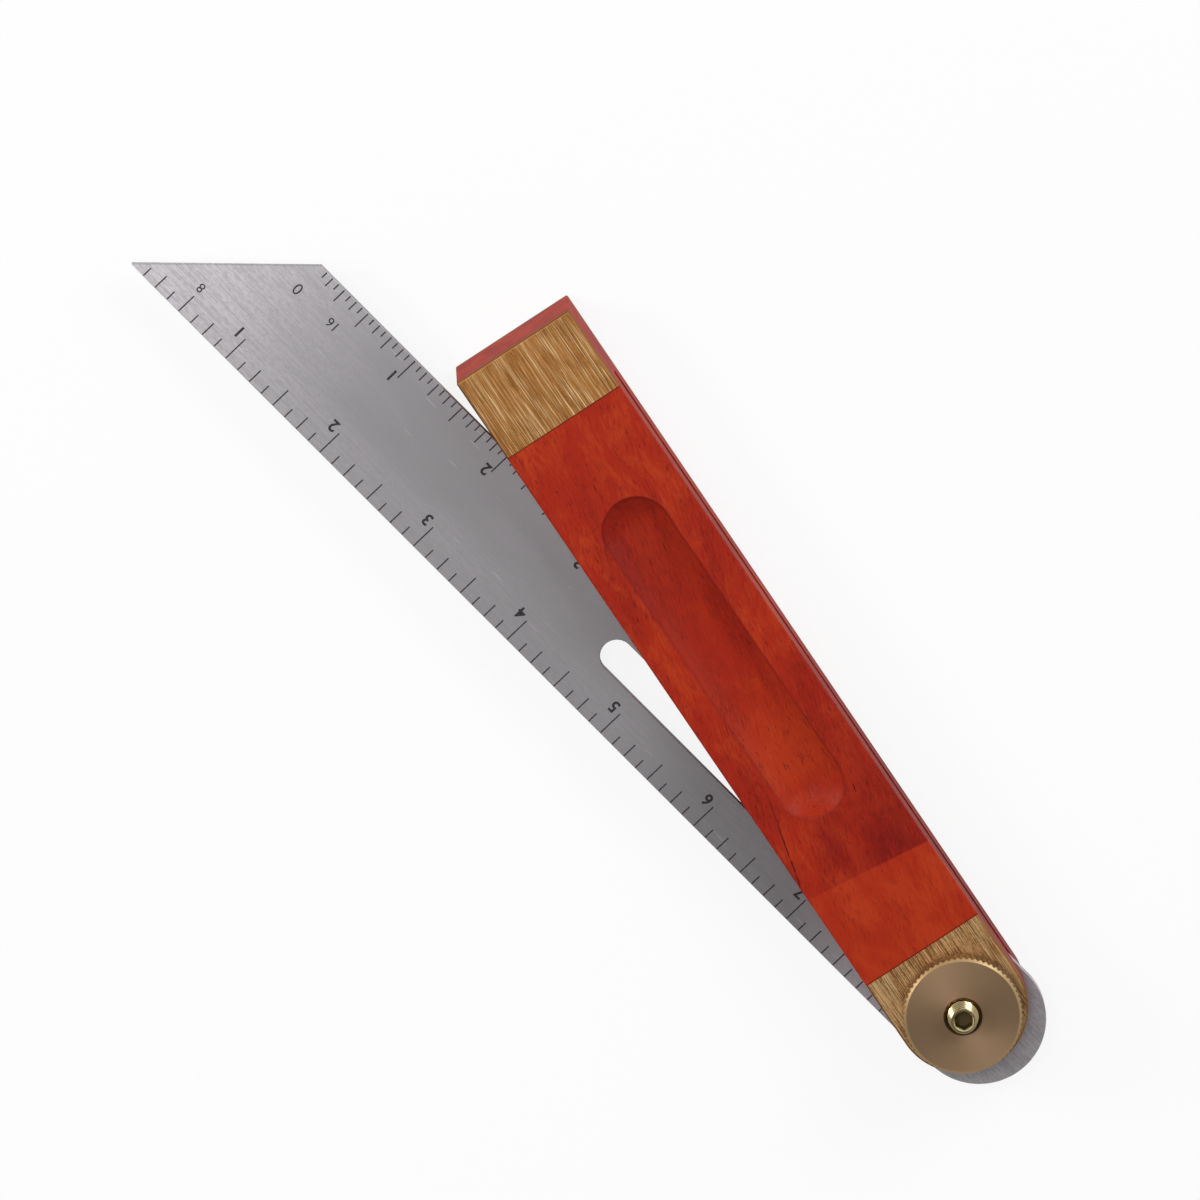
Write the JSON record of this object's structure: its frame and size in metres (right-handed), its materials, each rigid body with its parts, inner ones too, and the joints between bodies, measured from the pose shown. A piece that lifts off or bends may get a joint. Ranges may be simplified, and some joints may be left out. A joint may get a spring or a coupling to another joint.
{
  "type": "sliding bevel",
  "caption": "Sliding T-bevel: slotted steel rule blade that swings and slides in a brass-plated hardwood stock, clamped by a knurled thumb nut on a flush-headed stud.",
  "frame": {"origin": "on the stud's axis in the plane of the stock's flat back face", "axes": "+X from the stud towards the stock's butt, +Z out of the front face through the nut; the drawn-out blade lies 10.6 degrees round +Z from +X"},
  "size_m": [0.2244, 0.0653, 0.025],
  "materials": {
    "hardwood": "glossy lacquered red hardwood with dark pores along the grain",
    "plate_brass": "brushed lengthways",
    "nut_brass": "fine turned satin",
    "stud_brass": "bright machined",
    "blade_steel": "satin, fine scratches lengthways, dark etched graduations",
    "washer_steel": "plain"
  },
  "bodies": {
    "stock": {"stock": "hardwood", "butt_plate_front": "plate_brass", "butt_plate_back": "plate_brass", "pivot_plate_front": "plate_brass", "pivot_plate_back": "plate_brass", "clamp_stud": "stud_brass"},
    "blade_washers": {"blade_washer_front": "washer_steel", "blade_washer_back": "washer_steel"},
    "blade": {"blade": "blade_steel"},
    "nut_washer": {"nut_washer": "plate_brass"},
    "nut": {"knurled_nut": "nut_brass"}
  },
  "joints": [
    {"name": "blade_swing", "type": "hinge", "parent": "stock", "child": "blade_washers", "pos_m": [0, 0, 0.0075], "axis": [0, 0, 1], "range_deg": [0, 338.7]},
    {"name": "blade_slide", "type": "slide", "parent": "blade_washers", "child": "blade", "axis": [-0.9829, -0.184, 0], "range_m": [-0.001, 0.094]},
    {"name": "nut_lift", "type": "slide", "parent": "stock", "child": "nut_washer", "axis": [0, 0, 1], "range_m": [0, 0.003]},
    {"name": "nut_turn", "type": "hinge", "parent": "nut_washer", "child": "nut", "pos_m": [0, 0, 0.0158], "axis": [0, 0, 1], "range_deg": [0, 1080.1]}
  ],
  "couplings": [
    {"joint": "nut_turn", "follows": "nut_lift", "rad_per_m": 6283.2}
  ]
}
